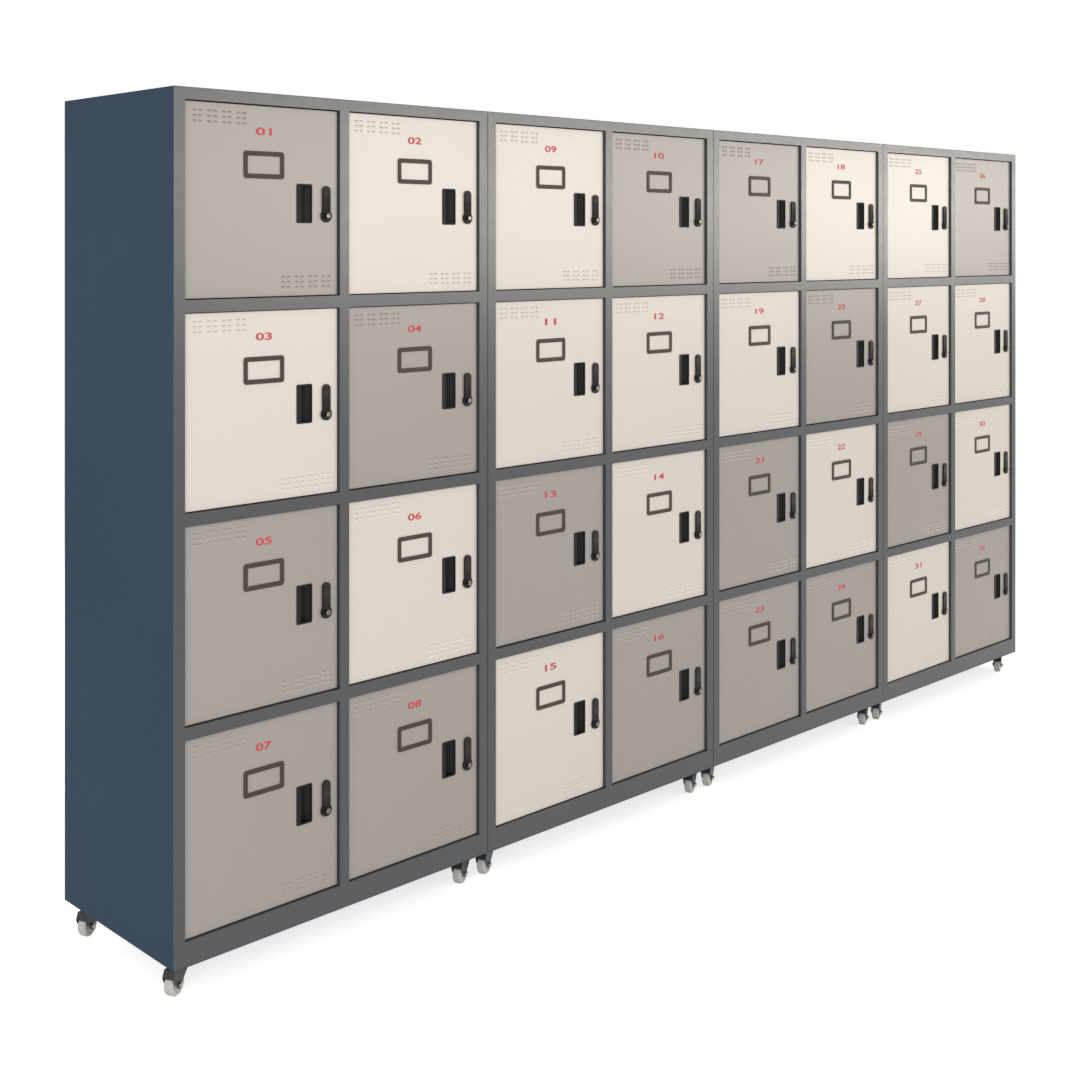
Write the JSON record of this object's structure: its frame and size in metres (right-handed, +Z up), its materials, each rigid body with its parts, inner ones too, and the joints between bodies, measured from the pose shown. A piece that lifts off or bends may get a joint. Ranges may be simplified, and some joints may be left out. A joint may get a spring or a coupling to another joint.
{
  "type": "phone locker bank on casters",
  "caption": "Bank of joined sheet-steel locker cabinets on swivel casters, with inset pan doors that each have louvre slots, a card frame, a recessed pull and a cam lock.",
  "frame": {"origin": "centre of the bank's footprint box, on the floor that the wheels stand on", "axes": "+X along the bank, from the left end seen in the picture to the right. The doors face -Y. +Z up."},
  "size_m": [3.6001, 0.479, 1.922],
  "materials": {
    "frame_paint": "satin",
    "case_paint": "satin",
    "cream_paint": "satin",
    "grey_paint": "satin",
    "zinc_steel": "bright zinc",
    "fork_paint": "gloss",
    "grey_tyre": "matt"
  },
  "bodies": {
    "bank": {"front_frames": "frame_paint", "side_panels": "case_paint", "back_panels": "case_paint", "roof_panels": "case_paint", "base_panels": "case_paint", "centre_dividers": "case_paint", "shelves": "case_paint", "hinge_pins": "zinc_steel", "joining_bolts": "zinc_steel", "caster_plates": "zinc_steel", "parked_forks": "fork_paint", "parked_wheels": "grey_tyre"},
    "door_01": {"door_01": "grey_paint"},
    "door_02": {"door_02": "cream_paint"},
    "door_03": {"door_03": "cream_paint"},
    "door_04": {"door_04": "grey_paint"},
    "door_05": {"door_05": "grey_paint"},
    "door_06": {"door_06": "cream_paint"},
    "door_07": {"door_07": "grey_paint"},
    "door_08": {"door_08": "grey_paint"},
    "door_09": {"door_09": "cream_paint"},
    "door_10": {"door_10": "grey_paint"},
    "door_11": {"door_11": "cream_paint"},
    "door_12": {"door_12": "cream_paint"},
    "door_13": {"door_13": "grey_paint"},
    "door_14": {"door_14": "cream_paint"},
    "door_15": {"door_15": "cream_paint"},
    "door_16": {"door_16": "grey_paint"},
    "door_17": {"door_17": "grey_paint"},
    "door_18": {"door_18": "cream_paint"},
    "door_19": {"door_19": "cream_paint"},
    "door_20": {"door_20": "grey_paint"},
    "door_21": {"door_21": "grey_paint"},
    "door_22": {"door_22": "cream_paint"},
    "door_23": {"door_23": "grey_paint"},
    "door_24": {"door_24": "grey_paint"},
    "door_25": {"door_25": "cream_paint"},
    "door_26": {"door_26": "grey_paint"},
    "door_27": {"door_27": "cream_paint"},
    "door_28": {"door_28": "cream_paint"},
    "door_29": {"door_29": "grey_paint"},
    "door_30": {"door_30": "cream_paint"},
    "door_31": {"door_31": "cream_paint"},
    "door_32": {"door_32": "grey_paint"},
    "lock_01": {"lock_plug_01": "zinc_steel"},
    "lock_02": {"lock_plug_02": "zinc_steel"},
    "lock_03": {"lock_plug_03": "zinc_steel"},
    "lock_04": {"lock_plug_04": "zinc_steel"},
    "lock_05": {"lock_plug_05": "zinc_steel"},
    "lock_06": {"lock_plug_06": "zinc_steel"},
    "lock_07": {"lock_plug_07": "zinc_steel"},
    "lock_08": {"lock_plug_08": "zinc_steel"},
    "swivel_front_left": {"caster_fork_front_left": "fork_paint"},
    "wheel_front_left": {"caster_wheel_front_left": "grey_tyre"},
    "swivel_front_right": {"caster_fork_front_right": "fork_paint"},
    "wheel_front_right": {"caster_wheel_front_right": "grey_tyre"},
    "swivel_rear_left": {"caster_fork_rear_left": "fork_paint"},
    "wheel_rear_left": {"caster_wheel_rear_left": "grey_tyre"},
    "swivel_rear_right": {"caster_fork_rear_right": "fork_paint"},
    "wheel_rear_right": {"caster_wheel_rear_right": "grey_tyre"}
  },
  "joints": [
    {"name": "door_01_hinge", "type": "hinge", "parent": "bank", "child": "door_01", "pos_m": [-1.763, -0.2225, 1.68475], "axis": [0, 0, -1], "range_deg": [0, 105]},
    {"name": "door_02_hinge", "type": "hinge", "parent": "bank", "child": "door_02", "pos_m": [-1.32775, -0.2225, 1.68475], "axis": [0, 0, -1], "range_deg": [0, 105]},
    {"name": "door_03_hinge", "type": "hinge", "parent": "bank", "child": "door_03", "pos_m": [-1.763, -0.2225, 1.23525], "axis": [0, 0, -1], "range_deg": [0, 105]},
    {"name": "door_04_hinge", "type": "hinge", "parent": "bank", "child": "door_04", "pos_m": [-1.32775, -0.2225, 1.23525], "axis": [0, 0, -1], "range_deg": [0, 105]},
    {"name": "door_05_hinge", "type": "hinge", "parent": "bank", "child": "door_05", "pos_m": [-1.763, -0.2225, 0.78575], "axis": [0, 0, -1], "range_deg": [0, 105]},
    {"name": "door_06_hinge", "type": "hinge", "parent": "bank", "child": "door_06", "pos_m": [-1.32775, -0.2225, 0.78575], "axis": [0, 0, -1], "range_deg": [0, 105]},
    {"name": "door_07_hinge", "type": "hinge", "parent": "bank", "child": "door_07", "pos_m": [-1.763, -0.2225, 0.33625], "axis": [0, 0, -1], "range_deg": [0, 105]},
    {"name": "door_08_hinge", "type": "hinge", "parent": "bank", "child": "door_08", "pos_m": [-1.32775, -0.2225, 0.33625], "axis": [0, 0, -1], "range_deg": [0, 105]},
    {"name": "door_09_hinge", "type": "hinge", "parent": "bank", "child": "door_09", "pos_m": [-0.8625, -0.2225, 1.68475], "axis": [0, 0, -1], "range_deg": [0, 105]},
    {"name": "door_10_hinge", "type": "hinge", "parent": "bank", "child": "door_10", "pos_m": [-0.42725, -0.2225, 1.68475], "axis": [0, 0, -1], "range_deg": [0, 105]},
    {"name": "door_11_hinge", "type": "hinge", "parent": "bank", "child": "door_11", "pos_m": [-0.8625, -0.2225, 1.23525], "axis": [0, 0, -1], "range_deg": [0, 105]},
    {"name": "door_12_hinge", "type": "hinge", "parent": "bank", "child": "door_12", "pos_m": [-0.42725, -0.2225, 1.23525], "axis": [0, 0, -1], "range_deg": [0, 105]},
    {"name": "door_13_hinge", "type": "hinge", "parent": "bank", "child": "door_13", "pos_m": [-0.8625, -0.2225, 0.78575], "axis": [0, 0, -1], "range_deg": [0, 105]},
    {"name": "door_14_hinge", "type": "hinge", "parent": "bank", "child": "door_14", "pos_m": [-0.42725, -0.2225, 0.78575], "axis": [0, 0, -1], "range_deg": [0, 105]},
    {"name": "door_15_hinge", "type": "hinge", "parent": "bank", "child": "door_15", "pos_m": [-0.8625, -0.2225, 0.33625], "axis": [0, 0, -1], "range_deg": [0, 105]},
    {"name": "door_16_hinge", "type": "hinge", "parent": "bank", "child": "door_16", "pos_m": [-0.42725, -0.2225, 0.33625], "axis": [0, 0, -1], "range_deg": [0, 105]},
    {"name": "door_17_hinge", "type": "hinge", "parent": "bank", "child": "door_17", "pos_m": [0.038, -0.2225, 1.68475], "axis": [0, 0, -1], "range_deg": [0, 105]},
    {"name": "door_18_hinge", "type": "hinge", "parent": "bank", "child": "door_18", "pos_m": [0.47325, -0.2225, 1.68475], "axis": [0, 0, -1], "range_deg": [0, 105]},
    {"name": "door_19_hinge", "type": "hinge", "parent": "bank", "child": "door_19", "pos_m": [0.038, -0.2225, 1.23525], "axis": [0, 0, -1], "range_deg": [0, 105]},
    {"name": "door_20_hinge", "type": "hinge", "parent": "bank", "child": "door_20", "pos_m": [0.47325, -0.2225, 1.23525], "axis": [0, 0, -1], "range_deg": [0, 105]},
    {"name": "door_21_hinge", "type": "hinge", "parent": "bank", "child": "door_21", "pos_m": [0.038, -0.2225, 0.78575], "axis": [0, 0, -1], "range_deg": [0, 105]},
    {"name": "door_22_hinge", "type": "hinge", "parent": "bank", "child": "door_22", "pos_m": [0.47325, -0.2225, 0.78575], "axis": [0, 0, -1], "range_deg": [0, 105]},
    {"name": "door_23_hinge", "type": "hinge", "parent": "bank", "child": "door_23", "pos_m": [0.038, -0.2225, 0.33625], "axis": [0, 0, -1], "range_deg": [0, 105]},
    {"name": "door_24_hinge", "type": "hinge", "parent": "bank", "child": "door_24", "pos_m": [0.47325, -0.2225, 0.33625], "axis": [0, 0, -1], "range_deg": [0, 105]},
    {"name": "door_25_hinge", "type": "hinge", "parent": "bank", "child": "door_25", "pos_m": [0.9385, -0.2225, 1.68475], "axis": [0, 0, -1], "range_deg": [0, 105]},
    {"name": "door_26_hinge", "type": "hinge", "parent": "bank", "child": "door_26", "pos_m": [1.37375, -0.2225, 1.68475], "axis": [0, 0, -1], "range_deg": [0, 105]},
    {"name": "door_27_hinge", "type": "hinge", "parent": "bank", "child": "door_27", "pos_m": [0.9385, -0.2225, 1.23525], "axis": [0, 0, -1], "range_deg": [0, 105]},
    {"name": "door_28_hinge", "type": "hinge", "parent": "bank", "child": "door_28", "pos_m": [1.37375, -0.2225, 1.23525], "axis": [0, 0, -1], "range_deg": [0, 105]},
    {"name": "door_29_hinge", "type": "hinge", "parent": "bank", "child": "door_29", "pos_m": [0.9385, -0.2225, 0.78575], "axis": [0, 0, -1], "range_deg": [0, 105]},
    {"name": "door_30_hinge", "type": "hinge", "parent": "bank", "child": "door_30", "pos_m": [1.37375, -0.2225, 0.78575], "axis": [0, 0, -1], "range_deg": [0, 105]},
    {"name": "door_31_hinge", "type": "hinge", "parent": "bank", "child": "door_31", "pos_m": [0.9385, -0.2225, 0.33625], "axis": [0, 0, -1], "range_deg": [0, 105]},
    {"name": "door_32_hinge", "type": "hinge", "parent": "bank", "child": "door_32", "pos_m": [1.37375, -0.2225, 0.33625], "axis": [0, 0, -1], "range_deg": [0, 105]},
    {"name": "lock_01_turn", "type": "hinge", "parent": "door_01", "child": "lock_01", "pos_m": [-1.39925, -0.2355, 1.655], "axis": [0, -1, 0], "range_deg": [0, 90]},
    {"name": "lock_02_turn", "type": "hinge", "parent": "door_02", "child": "lock_02", "pos_m": [-0.964, -0.2355, 1.655], "axis": [0, -1, 0], "range_deg": [0, 90]},
    {"name": "lock_03_turn", "type": "hinge", "parent": "door_03", "child": "lock_03", "pos_m": [-1.39925, -0.2355, 1.2055], "axis": [0, -1, 0], "range_deg": [0, 90]},
    {"name": "lock_04_turn", "type": "hinge", "parent": "door_04", "child": "lock_04", "pos_m": [-0.964, -0.2355, 1.2055], "axis": [0, -1, 0], "range_deg": [0, 90]},
    {"name": "lock_05_turn", "type": "hinge", "parent": "door_05", "child": "lock_05", "pos_m": [-1.39925, -0.2355, 0.756], "axis": [0, -1, 0], "range_deg": [0, 90]},
    {"name": "lock_06_turn", "type": "hinge", "parent": "door_06", "child": "lock_06", "pos_m": [-0.964, -0.2355, 0.756], "axis": [0, -1, 0], "range_deg": [0, 90]},
    {"name": "lock_07_turn", "type": "hinge", "parent": "door_07", "child": "lock_07", "pos_m": [-1.39925, -0.2355, 0.3065], "axis": [0, -1, 0], "range_deg": [0, 90]},
    {"name": "lock_08_turn", "type": "hinge", "parent": "door_08", "child": "lock_08", "pos_m": [-0.964, -0.2355, 0.3065], "axis": [0, -1, 0], "range_deg": [0, 90]},
    {"name": "swivel_front_left_turn", "type": "hinge", "parent": "bank", "child": "swivel_front_left", "pos_m": [-1.76, -0.1855, 0.072], "axis": [0, 0, 1], "continuous": true},
    {"name": "wheel_front_left_roll", "type": "hinge", "parent": "swivel_front_left", "child": "wheel_front_left", "pos_m": [-1.77269, -0.19142, 0.025], "axis": [0.4226, -0.9063, 0], "continuous": true},
    {"name": "swivel_front_right_turn", "type": "hinge", "parent": "bank", "child": "swivel_front_right", "pos_m": [-0.9415, -0.1855, 0.072], "axis": [0, 0, 1], "continuous": true},
    {"name": "wheel_front_right_roll", "type": "hinge", "parent": "swivel_front_right", "child": "wheel_front_right", "pos_m": [-0.95419, -0.19142, 0.025], "axis": [0.4226, -0.9063, 0], "continuous": true},
    {"name": "swivel_rear_left_turn", "type": "hinge", "parent": "bank", "child": "swivel_rear_left", "pos_m": [-1.76, 0.1895, 0.072], "axis": [0, 0, 1], "continuous": true},
    {"name": "wheel_rear_left_roll", "type": "hinge", "parent": "swivel_rear_left", "child": "wheel_rear_left", "pos_m": [-1.77269, 0.18358, 0.025], "axis": [0.4226, -0.9063, 0], "continuous": true},
    {"name": "swivel_rear_right_turn", "type": "hinge", "parent": "bank", "child": "swivel_rear_right", "pos_m": [-0.9415, 0.1895, 0.072], "axis": [0, 0, 1], "continuous": true},
    {"name": "wheel_rear_right_roll", "type": "hinge", "parent": "swivel_rear_right", "child": "wheel_rear_right", "pos_m": [-0.95419, 0.18358, 0.025], "axis": [0.4226, -0.9063, 0], "continuous": true}
  ]
}
